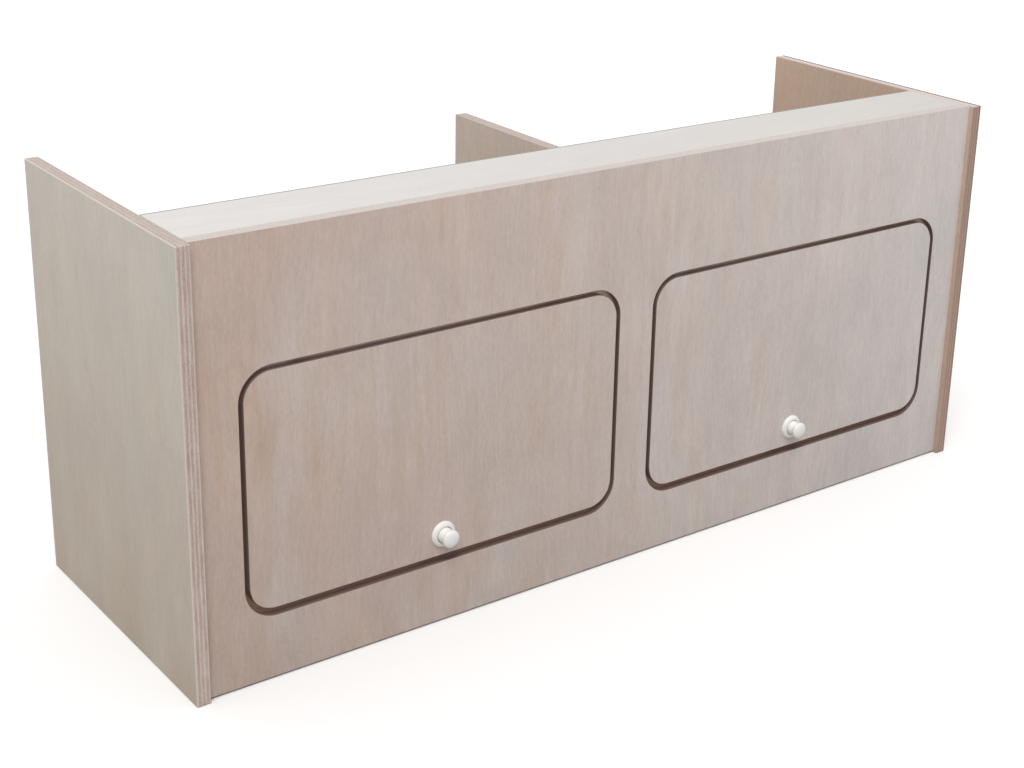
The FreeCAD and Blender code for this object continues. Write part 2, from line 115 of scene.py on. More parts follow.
# Sockets of a mix node, for colours and for fields
FACTOR, FIRST, SECOND, MIXED = 0, 6, 7, 2
FIRST_FIELD, SECOND_FIELD, MIXED_FIELD = 4, 5, 1


# Whitewashed plywood, rotary cut, sanded and limed: a milky, matt veneer with soft wandering tan streaks
# where the wash is thin, fine short grain, and edges that show the plies

# Sizes of the marks in millimetres across the grain, through the board and along the grain, and how much
# finer detail they hold. Grain is really 0.3 to 1 mm wide and flecks are 0.1 mm; both are drawn coarser,
# because a pixel covers about 1 mm.
VENEER_MARKS = {
    "patch": (90, 60, 160, 1.0),
    "streak": (11, 60, 130, 2.0),
    "cool": (70, 60, 190, 1.5),
    "mottle": (30, 60, 70, 2.0),
    "grain": (2.8, 60, 24, 3.0),
    "fleck": (2.0, 60, 6, 2.0),
}
EDGE_MARKS = {
    "bead": (2.4, 1.5, 2.4, 2.0),
    "smear": (22, 3.0, 22, 2.0),
    "wave": (60, 60, 60, 1.0),
}
DRIFT_SIZE = (170, 60, 250)
DRIFT_DETAIL = 1.0
DRIFT_REACH = 40 * MM

# Where a mark's noise starts to show and where it shows fully, and the share of its tone that it then takes
THIN_WASH = (0.36, 0.64)
TAN_STREAKS = (0.40, 0.70)
TAN_SHARE = 0.42
THICK_WASH = (0.48, 0.74)
COOL_SHARE = 0.5
# Tan streaks are denser where the board's fade starts than where it ends
TAN_DENSITY = (1.3, 0.3)
# How far each mark goes from the darkest shade to the palest
MARK_DEPTHS = {"patch": 0.2, "mottle": 0.16, "grain": 0.21, "fleck": 0.24}

PLIES = 7
GLUE_HALF = 0.012            # half a glue line, as a share of the board's thickness
PLY_WAVE = 0.06              # how far plies wave, as a share of the board's thickness
EDGE_SMEAR = (0.35, 0.7)     # noise of the lime smeared over an edge, and the least and most lime there
EDGE_LIME = (0.05, 0.45)
UPPER_EDGE = (0.6, 0.9)      # how far up an edge faces where its upper tone, partly painted light from above, starts and where it is full
UPPER_SHARE = 0.55
BEAD_DEPTH = 0.5

REAR_LINE_FROM = 3 * MM          # distance from the rear arris where a painted grey line starts, and where it is full
REAR_LINE_FULL = 2 * MM
REAR_LINE_SHARE = 0.75
SHADE_PLY_DEPTH = (0.8, 0.86)     # share of the board's thickness where the outer ply's painted shade starts and is full
SHADE_PLY_UPPER = 0.15            # how much wider that painted shade is on the upper edge
SHADE_PLY_SHARE = 0.95

# Routed edges of doors and openings are not limed. Their tone is painted shade, dark at the face; deeper in
# it turns pale, partly the bare ply's own tone and partly painted light that lifts the narrow gaps' shade
CUT_SHADE_TONES = ((0.0, "5F473E"), (0.35, "70544A"), (0.5, "96786B"), (0.68, "CDAC9C"), (0.85, "ECCBBB"))
CUT_BELOW = 0.44             # they lie below this height in metres; the front panel's top edge is limed
CUT_BLEND = 4 * MM
CUT_SHADE_SHARE = 0.85

# How squarely a surface faces as the board's faces do, 0 on an edge and 1 on a face: a painted highlight in
# the lime tone lies on the eased arrises between them, and a face's veneer starts and is full at the two
# values of each pair
NO_HIGHLIGHT = (0.0, 0.0, 0.0, 1)
MOST_HIGHLIGHT = (0.55, 0.55, 0.55, 1)
ARRIS_HIGHLIGHT = [(0.06, NO_HIGHLIGHT), (0.4, MOST_HIGHLIGHT), (0.8, MOST_HIGHLIGHT), (0.985, NO_HIGHLIGHT)]
EASED_FACE = (0.5, 0.72)
CUT_FACE = (0.75, 0.96)

WOOD_IOR = 1.5
VENEER_ROUGHNESS = (0.66, 0.5)
VENEER_BUMP = 0.12
VENEER_RELIEF = 0.3 * MM
BEAD_RELIEF = 0.5            # an edge's beads next to the grain


def veneer_colour(tree, marks, fade, height, tones, figure, painted_shade_lift):
    """The board's faces. Fade and height run from 0 to 1 over the board: fade goes from the first tone to
    the second, and the lift paints the upper edge paler than the lower one, as painted shade towards the
    bottom. Figure is how strongly marks show."""
    first, second, tan, cool = [linear(code) for code in tones]
    base = add(tree, "ShaderNodeMix", {FACTOR: fade, FIRST: first, SECOND: second}, data_type="RGBA")
    thin = add(tree, "ShaderNodeMapRange",
               {"Value": marks["patch"], "From Min": THIN_WASH[0], "From Max": THIN_WASH[1]})
    streaks = add(tree, "ShaderNodeMapRange",
                  {"Value": marks["streak"], "From Min": TAN_STREAKS[0], "From Max": TAN_STREAKS[1],
                   "To Max": TAN_SHARE * figure})
    tan_share = add(tree, "ShaderNodeMath", {0: thin.outputs[0], 1: streaks.outputs[0]},
                    operation="MULTIPLY")
    fewer = add(tree, "ShaderNodeMapRange",
                {"Value": fade, "To Min": TAN_DENSITY[0], "To Max": TAN_DENSITY[1]})
    tan_share = add(tree, "ShaderNodeMath", {0: tan_share.outputs[0], 1: fewer.outputs[0]},
                    operation="MULTIPLY")
    warm = add(tree, "ShaderNodeMix",
               {FACTOR: tan_share.outputs[0], FIRST: base.outputs[MIXED], SECOND: tan}, data_type="RGBA")
    thick = add(tree, "ShaderNodeMapRange",
                {"Value": marks["cool"], "From Min": THICK_WASH[0], "From Max": THICK_WASH[1],
                 "To Max": COOL_SHARE * figure})
    washed = add(tree, "ShaderNodeMix",
                 {FACTOR: thick.outputs[0], FIRST: warm.outputs[MIXED], SECOND: cool}, data_type="RGBA")

    # marks centre on 0.5, so a shade of 1 less half of what they may add keeps the board's mean colour
    # the board is painted darker towards its lower edge and paler towards its upper one: painted shade
    lowest = 1.0 - sum(MARK_DEPTHS.values()) * figure / 2 - painted_shade_lift / 2
    painted_shade_base = add(tree, "ShaderNodeMath", {0: height, 1: painted_shade_lift, 2: lowest}, operation="MULTIPLY_ADD")
    shade = painted_shade_base.outputs[0]
    for mark, depth in MARK_DEPTHS.items():
        deeper = add(tree, "ShaderNodeMath", {0: marks[mark], 1: depth * figure, 2: shade},
                     operation="MULTIPLY_ADD")
        shade = deeper.outputs[0]
    veneer = add(tree, "ShaderNodeVectorMath", {"Vector": washed.outputs[MIXED], "Scale": shade},
                 operation="SCALE")
    return veneer.outputs[0]


def ply_stops(pale, brown, glue):
    """Stripes of one board edge: plies in turn pale and brown, with a thin glue line between them."""
    stops = []
    for i in range(PLIES):
        colour = pale if i % 2 == 0 else brown
        stops.append((i / PLIES + GLUE_HALF, colour))
        stops.append(((i + 1) / PLIES - GLUE_HALF, colour))
        if i + 1 < PLIES:
            stops.append(((i + 1) / PLIES, glue))
    return stops


def edge_colour(tree, marks, depth, rise, tones):
    """The board's edges, and the lime tone smeared over them, which also serves as the painted highlight on
    their arrises. Depth runs from 0 to 1 through the board; rise is how far the surface faces up."""
    pale, brown, glue, lime_and_highlight, top = [linear(code) for code in tones]
    waved = add(tree, "ShaderNodeMath", {0: marks["wave"], 1: PLY_WAVE, 2: depth}, operation="MULTIPLY_ADD")
    centred = add(tree, "ShaderNodeMath", {0: waved.outputs[0], 1: PLY_WAVE / 2}, operation="SUBTRACT")
    plies = add(tree, "ShaderNodeValToRGB", {0: centred.outputs[0]}, ply_stops(pale, brown, glue))
    limed = add(tree, "ShaderNodeMapRange",
                {"Value": marks["smear"], "From Min": EDGE_SMEAR[0], "From Max": EDGE_SMEAR[1],
                 "To Min": EDGE_LIME[0], "To Max": EDGE_LIME[1]})
    washed = add(tree, "ShaderNodeMix", {FACTOR: limed.outputs[0], FIRST: plies.outputs[0], SECOND: lime_and_highlight},
                 data_type="RGBA")
    # edges that face up take the upper tone, partly painted light from above
    upper = add(tree, "ShaderNodeMapRange",
                {"Value": rise, "From Min": UPPER_EDGE[0], "From Max": UPPER_EDGE[1],
                 "To Max": UPPER_SHARE})
    washed = add(tree, "ShaderNodeMix",
                 {FACTOR: upper.outputs[0], FIRST: washed.outputs[MIXED], SECOND: top}, data_type="RGBA")
    shade = add(tree, "ShaderNodeMath", {0: marks["bead"], 1: BEAD_DEPTH, 2: 1 - BEAD_DEPTH / 2},
                operation="MULTIPLY_ADD")
    edge = add(tree, "ShaderNodeVectorMath", {"Vector": washed.outputs[MIXED], "Scale": shade.outputs[0]},
               operation="SCALE")
    return edge.outputs[0], lime_and_highlight


def whitewashed_plywood(node, axes, tones, edges, fade, start, figure=1.0, painted_shade_lift=0.0, cut=False, shade_ply=None,
                        rear_line=None):
    """One board's plywood. Axes name the directions across the grain, through the board and along the grain.
    The outer-ply tones are painted shade along the arris that faces away from the light, on upright edges
    and darker on the upper edge; the rear-line tone is a thin grey line painted along the rear arris."""
    material, tree = new_material("whitewashed_plywood_" + node)
    place = add(tree, "ShaderNodeTexCoord")
    parts = add(tree, "ShaderNodeSeparateXYZ", {"Vector": place.outputs["Object"]})
    across, through, along = [parts.outputs[axis] for axis in axes]
    turned_field = add(tree, "ShaderNodeCombineXYZ", {"X": across, "Y": through, "Z": along})
    field = add(tree, "ShaderNodeMapping",
                {"Vector": turned_field.outputs[0], "Location": start}).outputs[0]

    # the veneer's marks wander sideways, as the trunk's rings do; the edges' marks don't
    drift_field = add(tree, "ShaderNodeMapping", {"Vector": field, "Scale": per_metre(DRIFT_SIZE)})
    drift = add(tree, "ShaderNodeTexNoise",
                {"Vector": drift_field.outputs[0], "Scale": 1.0, "Detail": DRIFT_DETAIL})
    push = add(tree, "ShaderNodeMath", {0: drift.outputs[0], 1: DRIFT_REACH, 2: -DRIFT_REACH / 2},
               operation="MULTIPLY_ADD")
    sideways = add(tree, "ShaderNodeCombineXYZ", {"X": push.outputs[0]})
    wandering = add(tree, "ShaderNodeVectorMath", {0: field, 1: sideways.outputs[0]},
                    operation="ADD").outputs[0]
    marks = {}
    for mark, (wide, thick, long, detail) in (VENEER_MARKS | EDGE_MARKS).items():
        source = wandering if mark in VENEER_MARKS else field
        stretched = add(tree, "ShaderNodeMapping",
                        {"Vector": source, "Scale": per_metre((wide, thick, long))})
        noise = add(tree, "ShaderNodeTexNoise",
                    {"Vector": stretched.outputs[0], "Scale": 1.0, "Detail": detail})
        marks[mark] = noise.outputs[0]

    # the fade's weights along X, Y and Z add up to 1 over the board that it is measured on
    weights, fade_node = fade
    low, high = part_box(fade_node)
    slope = [weight / (end - begin) for weight, begin, end in zip(weights, low, high)]
    fade_start = sum(part * begin for part, begin in zip(slope, low))
    climb = add(tree, "ShaderNodeVectorMath", {0: place.outputs["Object"], 1: slope},
                operation="DOT_PRODUCT")
    fade_share = add(tree, "ShaderNodeMath", {0: climb.outputs["Value"], 1: fade_start},
                     operation="SUBTRACT")
    height = add(tree, "ShaderNodeMapRange",
                 {"Value": parts.outputs["Z"], "From Min": low.z, "From Max": high.z})
    veneer = veneer_colour(tree, marks, fade_share.outputs[0], height.outputs[0], tones, figure, painted_shade_lift)

    low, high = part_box(node)
    # a thin grey line painted on the top face along its rear arris
    if rear_line:
        rear = add(tree, "ShaderNodeMapRange",
                   {"Value": parts.outputs["Y"], "From Min": high.y - REAR_LINE_FROM,
                    "From Max": high.y - REAR_LINE_FULL, "To Max": REAR_LINE_SHARE})
        veneer = add(tree, "ShaderNodeMix", {FACTOR: rear.outputs[0], FIRST: veneer, SECOND: linear(rear_line)},
                     data_type="RGBA").outputs[MIXED]
    axis = "XYZ".index(axes[1])
    depth = add(tree, "ShaderNodeMapRange",
                {"Value": through, "From Min": low[axis], "From Max": high[axis]})
    normal = add(tree, "ShaderNodeSeparateXYZ", {"Vector": place.outputs["Normal"]})
    edge, lime_and_highlight = edge_colour(tree, marks, depth.outputs[0], normal.outputs["Z"], edges)
    # the outer ply is painted dark, darker on the upper edge: painted shade along the arris that faces away
    # from the light
    if shade_ply:
        upright, upper = [linear(code) for code in shade_ply]
        raw = add(tree, "ShaderNodeMix", {FACTOR: normal.outputs["Z"], FIRST: upright, SECOND: upper},
                  data_type="RGBA")
        wider = add(tree, "ShaderNodeMath", {0: normal.outputs["Z"], 1: SHADE_PLY_UPPER, 2: depth.outputs[0]},
                    operation="MULTIPLY_ADD")
        outer = add(tree, "ShaderNodeMapRange",
                    {"Value": wider.outputs[0], "From Min": SHADE_PLY_DEPTH[0], "From Max": SHADE_PLY_DEPTH[1],
                     "To Max": SHADE_PLY_SHARE})
        edge = add(tree, "ShaderNodeMix",
                   {FACTOR: outer.outputs[0], FIRST: edge, SECOND: raw.outputs[MIXED]},
                   data_type="RGBA").outputs[MIXED]

    # faces and edges are told apart by the board's own normal
    facing = add(tree, "ShaderNodeMath", {0: normal.outputs[axes[1]]}, operation="ABSOLUTE")
    # arrises between faces and edges take a painted highlight in the lime tone
    arris = add(tree, "ShaderNodeValToRGB", {0: facing.outputs[0]}, ARRIS_HIGHLIGHT).outputs[0]
    # routed edges take painted shade, dark at the face and paler with depth, and lose the painted arris
    # highlight
    if cut:
        cut_shade_share = add(tree, "ShaderNodeMapRange",
                        {"Value": parts.outputs["Z"], "From Min": CUT_BELOW,
                         "From Max": CUT_BELOW + CUT_BLEND, "To Min": CUT_SHADE_SHARE, "To Max": 0.0}).outputs[0]
        cut_shade_ramp = add(tree, "ShaderNodeValToRGB", {0: depth.outputs[0]},
                      [(reach, linear(code)) for reach, code in CUT_SHADE_TONES])
        edge = add(tree, "ShaderNodeMix", {FACTOR: cut_shade_share, FIRST: edge, SECOND: cut_shade_ramp.outputs[0]},
                   data_type="RGBA").outputs[MIXED]
        kept = add(tree, "ShaderNodeMath", {0: 1.0, 1: cut_shade_share}, operation="SUBTRACT")
        arris = add(tree, "ShaderNodeMath", {0: arris, 1: kept.outputs[0]}, operation="MULTIPLY").outputs[0]
    face_start, face_end = CUT_FACE if cut else EASED_FACE
    on_face = add(tree, "ShaderNodeMapRange",
                  {"Value": facing.outputs[0], "From Min": face_start, "From Max": face_end})
    board = add(tree, "ShaderNodeMix", {FACTOR: on_face.outputs[0], FIRST: edge, SECOND: veneer},
                data_type="RGBA")
    # the painted highlight on the eased arrises
    eased = add(tree, "ShaderNodeMix", {FACTOR: arris, FIRST: board.outputs[MIXED], SECOND: lime_and_highlight},
                data_type="RGBA")

    rough = add(tree, "ShaderNodeMapRange",
                {"Value": marks["grain"], "To Min": VENEER_ROUGHNESS[0], "To Max": VENEER_ROUGHNESS[1]})
    relief = add(tree, "ShaderNodeMath", {0: marks["bead"], 1: BEAD_RELIEF, 2: marks["grain"]},
                 operation="MULTIPLY_ADD")
    bump = add(tree, "ShaderNodeBump",
               {"Strength": VENEER_BUMP, "Distance": VENEER_RELIEF, "Height": relief.outputs[0]})
    shader = add(tree, "ShaderNodeBsdfPrincipled",
                 {"Base Color": eased.outputs[MIXED], "Roughness": rough.outputs[0],
                  "Normal": bump.outputs[0], "IOR": WOOD_IOR})
    add(tree, "ShaderNodeOutputMaterial", {"Surface": shader.outputs[0]})
    return material


# Tones of the faces: at the fade's start, at its end, where the wash is thin, where it is thick
front_tones = ("C4AEA2", "D5CDC9", "BA9F85", "CBC4C0")
left_tones = ("BDAD9D", "D6CEC2", "BEAD96", "C8C5B9")
inner_tones = ("C0A591", "CFB5A1", "B49378", "C6B3A3")
divider_tones = ("C8B5A6", "D3C3B6", "BFA590", "CCBFB4")
rail_tones = ("D7D4D1", "CBC7C2", "CBC2B9", "CFCDCA")
# Tones of the edges: pale plies, brown plies, glue lines, lime smeared over edges and painted as the arris
# highlight, upward-facing edges (partly painted light from above)
plain_edges = ("CBB8AE", "B1998E", "977E72", "DCCFC6", "B0A59D")
top_edges = ("CAC0BA", "C4B9B2", "BEB0A7", "CDC4BE", "CAC0BA")
brown_edges = ("BD9E8C", "A38577", "876C60", "9A8478", "EAE4E0")
# outer ply on upright and on upper edges: painted shade along the arris that faces away from the light
painted_shade_ply = ("907F76", "5A4E49")
# grey line painted along the top rail's rear arris
rear_line_tone = "70716B"

# Directions across the grain, through the board and along the grain
FRONT_AXES = ("X", "Y", "Z")
SIDE_AXES = ("Y", "X", "Z")
FLAT_AXES = ("Y", "Z", "X")
RAIL_AXES = ("Z", "Y", "X")
UPWARD = (0, 0, 1)
RIGHTWARD = (1, 0, 0)

# Each board starts at another place of the pattern, in metres. Doors are cut from the front panel, so they
# share its figure.
# The front's fade from left to right is partly the wash's warmer tone on the left and partly painted shade,
# darker to the left; it is also painted darker towards the bottom, as painted shade.
front_look = dict(axes=FRONT_AXES, tones=front_tones, edges=top_edges, fade=(RIGHTWARD, "front_panel"),
                  start=(0, 0, 0), painted_shade_lift=0.17, cut=True)
board_looks = {
    "front_panel": front_look,
    "left_door_panel": front_look,
    "right_door_panel": front_look,
    # side panels and the divider fade upward from a darker, warmer lower tone: the darker lower part is
    # painted shade
    "left_side_panel": dict(axes=SIDE_AXES, tones=left_tones, edges=plain_edges, start=(1.3, 0, 0.4),
                            fade=(UPWARD, "left_side_panel"), figure=0.8),
    "right_side_panel": dict(axes=SIDE_AXES, tones=inner_tones, edges=brown_edges, start=(2.7, 0, 1.1),
                             fade=(UPWARD, "right_side_panel"), shade_ply=painted_shade_ply),
    "centre_divider": dict(axes=SIDE_AXES, tones=divider_tones, edges=plain_edges, start=(3.9, 0, 2.3),
                           fade=(UPWARD, "centre_divider")),
    "top_rail": dict(axes=FLAT_AXES, tones=rail_tones, edges=top_edges, start=(4.4, 0, 0.7),
                     fade=(RIGHTWARD, "top_rail"), figure=0.4, rear_line=rear_line_tone),
    "floor_panel": dict(axes=FLAT_AXES, tones=inner_tones, edges=plain_edges, start=(5.2, 0, 1.9),
                        fade=(RIGHTWARD, "floor_panel")),
    "left_hanging_rail": dict(axes=RAIL_AXES, tones=inner_tones, edges=plain_edges, start=(6.1, 0, 0.2),
                              fade=(RIGHTWARD, "left_hanging_rail")),
    "right_hanging_rail": dict(axes=RAIL_AXES, tones=inner_tones, edges=plain_edges, start=(7.3, 0, 1.4),
                               fade=(RIGHTWARD, "right_hanging_rail")),
}
finishes = {board: whitewashed_plywood(board, **look) for board, look in board_looks.items()}


# Planed beech, raw: fine pale grain along the lath and short darker ray flecks. The flecks are really
# 0.2 mm wide and are drawn 0.8 mm wide, so that they show.

UPRIGHT_FROM = 98.15 * MM    # laths below this height lie along X, those above it stand
GRAIN_SIZE = (60, 1.2, 1.2)
GRAIN_DETAIL = 3.0
RAY_SIZE = (3.5, 0.8, 0.8)
RAY_DETAIL = 1.0
RAY_NOISE = (0.6, 0.68)
RAY_SHARE = 0.5
BEECH_ROUGHNESS = (0.5, 0.68)
BEECH_BUMP = 0.1
BEECH_RELIEF = 0.2 * MM
beech_grain, beech_wood, beech_rays = [linear(code) for code in ("B5987F", "CDB49F", "9B7C66")]

beech, tree = new_material("planed_beech")
place = add(tree, "ShaderNodeTexCoord")
parts = add(tree, "ShaderNodeSeparateXYZ", {"Vector": place.outputs["Object"]})
stands = add(tree, "ShaderNodeMath", {0: parts.outputs["Z"], 1: UPRIGHT_FROM}, operation="GREATER_THAN")
turned = add(tree, "ShaderNodeCombineXYZ",
             {"X": parts.outputs["Z"], "Y": parts.outputs["Y"], "Z": parts.outputs["X"]})
lath_field = add(tree, "ShaderNodeMix",
                 {FACTOR: stands.outputs[0], FIRST_FIELD: place.outputs["Object"],
                  SECOND_FIELD: turned.outputs[0]}, data_type="VECTOR").outputs[MIXED_FIELD]
grain_field = add(tree, "ShaderNodeMapping",
                  {"Vector": lath_field, "Scale": per_metre(GRAIN_SIZE)})
grain = add(tree, "ShaderNodeTexNoise",
            {"Vector": grain_field.outputs[0], "Scale": 1.0, "Detail": GRAIN_DETAIL})
ray_field = add(tree, "ShaderNodeMapping",
                {"Vector": lath_field, "Scale": per_metre(RAY_SIZE)})
rays = add(tree, "ShaderNodeTexNoise", {"Vector": ray_field.outputs[0], "Scale": 1.0, "Detail": RAY_DETAIL})
wood = add(tree, "ShaderNodeMix", {FACTOR: grain.outputs[0], FIRST: beech_grain, SECOND: beech_wood},
           data_type="RGBA")
ray_share = add(tree, "ShaderNodeMapRange",
                {"Value": rays.outputs[0], "From Min": RAY_NOISE[0], "From Max": RAY_NOISE[1],
                 "To Max": RAY_SHARE})
flecked = add(tree, "ShaderNodeMix",
              {FACTOR: ray_share.outputs[0], FIRST: wood.outputs[MIXED], SECOND: beech_rays},
              data_type="RGBA")
dull = add(tree, "ShaderNodeMapRange",
           {"Value": grain.outputs[0], "To Min": BEECH_ROUGHNESS[0], "To Max": BEECH_ROUGHNESS[1]})
bump = add(tree, "ShaderNodeBump",
           {"Strength": BEECH_BUMP, "Distance": BEECH_RELIEF, "Height": grain.outputs[0]})
shader = add(tree, "ShaderNodeBsdfPrincipled",
             {"Base Color": flecked.outputs[MIXED], "Roughness": dull.outputs[0], "Normal": bump.outputs[0]})
add(tree, "ShaderNodeOutputMaterial", {"Surface": shader.outputs[0]})


# Moulded, plated and lacquered fittings

MOTTLE_DETAIL = 3.0
MOTTLE_GLOSS = 0.06
MOTTLE_RELIEF = 0.1 * MM


def fitting(name, code, metallic, rough, spread, mark_mm, stretch=1.0, relief=0.05):
    """A smooth finish with faint mottling of its colour and gloss. Spread is how much darker the mottles
    are, and stretch how much longer they are along X."""
    material, tree = new_material(name)
    place = add(tree, "ShaderNodeTexCoord")
    scale = 1 / (mark_mm * MM)
    field = add(tree, "ShaderNodeMapping",
                {"Vector": place.outputs["Object"], "Scale": (scale / stretch, scale, scale)})
    noise = add(tree, "ShaderNodeTexNoise",
                {"Vector": field.outputs[0], "Scale": 1.0, "Detail": MOTTLE_DETAIL})
    base = linear(code)
    darker = tuple(c * (1 - spread) for c in base[:3]) + (1.0,)
    colour = add(tree, "ShaderNodeMix", {FACTOR: noise.outputs[0], FIRST: darker, SECOND: base},
                 data_type="RGBA")
    gloss = add(tree, "ShaderNodeMapRange",
                {"Value": noise.outputs[0], "To Min": rough - MOTTLE_GLOSS, "To Max": rough + MOTTLE_GLOSS})
    bump = add(tree, "ShaderNodeBump",
               {"Strength": relief, "Distance": MOTTLE_RELIEF, "Height": noise.outputs[0]})
    shader = add(tree, "ShaderNodeBsdfPrincipled",
                 {"Base Color": colour.outputs[MIXED], "Metallic": metallic, "Roughness": gloss.outputs[0],
                  "Normal": bump.outputs[0]})
    add(tree, "ShaderNodeOutputMaterial", {"Surface": shader.outputs[0]})
    return material


# ABS is milky and half glossy, nylon is dull with a fine moulded grain, nickel plate is smooth and warm with
# faint rolling marks along the strip, zinc plate is bluish and cloudy, and lacquer hides the steel's grain
slot_finishes = {
    "white_plastic": fitting("moulded_white_abs", "EEECE8", metallic=0.0, rough=0.32, spread=0.03,
                             mark_mm=1.5),
    "grey_plastic": fitting("moulded_grey_nylon", "77797A", metallic=0.0, rough=0.5, spread=0.1,
                            mark_mm=0.8),
    "nickel_steel": fitting("pressed_nickel_plated_steel", "CFCAC0", metallic=1.0, rough=0.28, spread=0.05,
                            mark_mm=3.0, stretch=8.0, relief=0.008),
    "zinc_screw": fitting("zinc_plated_steel_screws", "C3C6CA", metallic=1.0, rough=0.34, spread=0.15,
                          mark_mm=1.2),
    "dark_steel": fitting("black_lacquered_steel", "2C2B2A", metallic=0.0, rough=0.42, spread=0.15,
                          mark_mm=1.0),
    "beech": beech,
}
for node, slot in slot_of.items():
    finishes.setdefault(node, slot_finishes.get(slot))
    wear(nodes[node], finishes[node])


# Modelled pieces. The locks' and hinge cups' round pieces are drawn out of a circle ring by ring. Pressed
# and moulded fittings, laths and plain boards start as copies of their CAD nodes, whose corners are merged
# and arrises softened.

WELD = 0.005 * MM                  # corners this close are one
ROUND = 32                         # corners of a ring
SMOOTH_LEVELS = 2
ONE_PLANE = math.radians(0.5)      # CAD triangles that meet at less than this are one face
SHARP = math.radians(35)           # edges sharper than this are softened
ARRIS_STEPS = 2
FACES_REAR = 0.99
REAR_BAND = 0.1 * MM


def take(piece):
    """Makes a piece the only one that operators act on."""
    bpy.ops.object.select_all(action="DESELECT")
    piece.select_set(True)
    bpy.context.view_layer.objects.active = piece


def stand_for(piece, node):
    """Puts a finished piece in its CAD node's place."""
    wear(piece, finishes[node])
    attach(piece, nodes[node]["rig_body"])
    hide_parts(node)


def drawn_out(name, rings, x, z):
    """A round piece about an axis along Y. Rings are (radius, y) in millimetres; a piece whose last ring is
    its first one is closed, and any other gets its ends filled."""
    radius, y = rings[0]
    bpy.ops.object.select_all(action="DESELECT")
    bpy.ops.mesh.primitive_circle_add(vertices=ROUND, radius=radius * MM, location=(x, y * MM, z),
                                      rotation=(math.pi / 2, 0, 0))
    piece = bpy.context.object
    piece.name = name
    bpy.ops.object.transform_apply(location=True, rotation=True, scale=True)
    bpy.ops.object.mode_set(mode="EDIT")
    bpy.ops.mesh.select_mode(type="EDGE")
    bpy.ops.mesh.select_all(action="SELECT")
    for (radius, y), (next_radius, next_y) in zip(rings, rings[1:]):
        bpy.ops.mesh.extrude_edges_move(TRANSFORM_OT_translate={"value": (0, (next_y - y) * MM, 0)})
        growth = next_radius / radius
        bpy.ops.transform.resize(value=(growth, 1, growth), center_override=(x, next_y * MM, z))
    bpy.ops.mesh.select_all(action="SELECT")
    bpy.ops.mesh.remove_doubles(threshold=WELD)
    bpy.ops.mesh.fill_holes(sides=0)
    bpy.ops.mesh.select_all(action="SELECT")
    bpy.ops.mesh.normals_make_consistent(inside=False)
    bpy.ops.object.mode_set(mode="OBJECT")
    smooth = piece.modifiers.new("moulded_curves", "SUBSURF")
    smooth.levels = SMOOTH_LEVELS
    smooth.render_levels = SMOOTH_LEVELS
    bpy.ops.object.modifier_apply(modifier=smooth.name)
    bpy.ops.object.shade_smooth()
    return piece


def copied(piece, name, shift):
    """A copy with its own mesh, moved along X."""
    take(piece)
    bpy.ops.object.duplicate()
    twin = bpy.context.object
    twin.name = name
    bpy.ops.transform.translate(value=(shift, 0, 0))
    bpy.ops.object.transform_apply(location=True, rotation=False, scale=False)
    return twin


def eased_copy(node, arris, inset=0.0, raised=0.0):
    """A copy of a CAD node with soft arrises. Where inset is given, its rearmost face gets a panel that is
    raised or, below zero, sunk."""
    piece = bpy.data.objects.new(node + "_eased", nodes[node].data.copy())
    scene.collection.objects.link(piece)
    take(piece)
    bpy.ops.mesh.customdata_custom_splitnormals_clear()
    bpy.ops.object.mode_set(mode="EDIT")
    bpy.ops.mesh.select_mode(type="FACE")
    bpy.ops.mesh.select_all(action="SELECT")
    bpy.ops.mesh.remove_doubles(threshold=WELD)
    bpy.ops.mesh.dissolve_limited(angle_limit=ONE_PLANE)
    bpy.ops.mesh.select_all(action="DESELECT")
    if inset:
        bpy.ops.object.mode_set(mode="OBJECT")
        rear = max(face.center.y for face in piece.data.polygons)
        for face in piece.data.polygons:
            face.select = face.normal.y > FACES_REAR and face.center.y > rear - REAR_BAND
        bpy.ops.object.mode_set(mode="EDIT")
        bpy.ops.mesh.inset(thickness=inset, depth=raised)
        bpy.ops.mesh.select_all(action="DESELECT")
    bpy.ops.object.mode_set(mode="OBJECT")
    bevel = piece.modifiers.new("soft_arrises", "BEVEL")
    bevel.width = arris
    bevel.segments = ARRIS_STEPS
    bevel.limit_method = "ANGLE"
    bevel.angle_limit = SHARP
    bpy.ops.object.modifier_apply(modifier=bevel.name)
    bpy.ops.object.shade_smooth()
    flat = piece.modifiers.new("flat_faces", "WEIGHTED_NORMAL")
    bpy.ops.object.modifier_apply(modifier=flat.name)
    return piece


# Knob: (radius, distance behind its tip). Domed face, round rim, hollow throat, bell-shaped skirt and
# plain stem.
KNOB_RINGS = [(2.0, 0.05), (4.6, 0.35), (7.0, 1.0), (8.8, 2.0), (9.8, 3.1), (10.0, 4.0), (9.75, 4.9),
              (8.9, 5.8), (7.8, 6.5), (7.15, 7.4), (7.0, 8.6), (7.25, 10.0), (7.9, 11.4), (8.5, 12.6),
              (8.7, 13.6), (8.75, 16.0), (8.65, 16.3), (7.2, 16.3), (7.0, 16.5), (7.0, 17.0), (7.0, 42.6),
              (6.6, 43.0)]
# Rosette: (radius, distance in front of the door's face). Guide, well, crown, rim and collar.
ROSETTE_RINGS = [(7.1, -15.0), (7.1, -14.6), (7.1, -6.0), (7.1, -5.6), (7.5, -5.6), (8.9, -5.6), (9.3, -5.6),
                 (9.3, -5.2), (9.3, 3.5), (9.4, 3.85), (9.75, 4.0), (10.6, 3.95), (12.1, 3.5), (13.4, 2.7),
                 (14.2, 1.7), (14.5, 0.8), (14.5, 0.2), (14.5, 0.0), (14.2, 0.0), (11.3, 0.0), (11.0, 0.0),
                 (11.0, -0.4), (11.0, -14.6), (11.0, -15.0), (10.6, -15.0), (7.5, -15.0), (7.1, -15.0)]
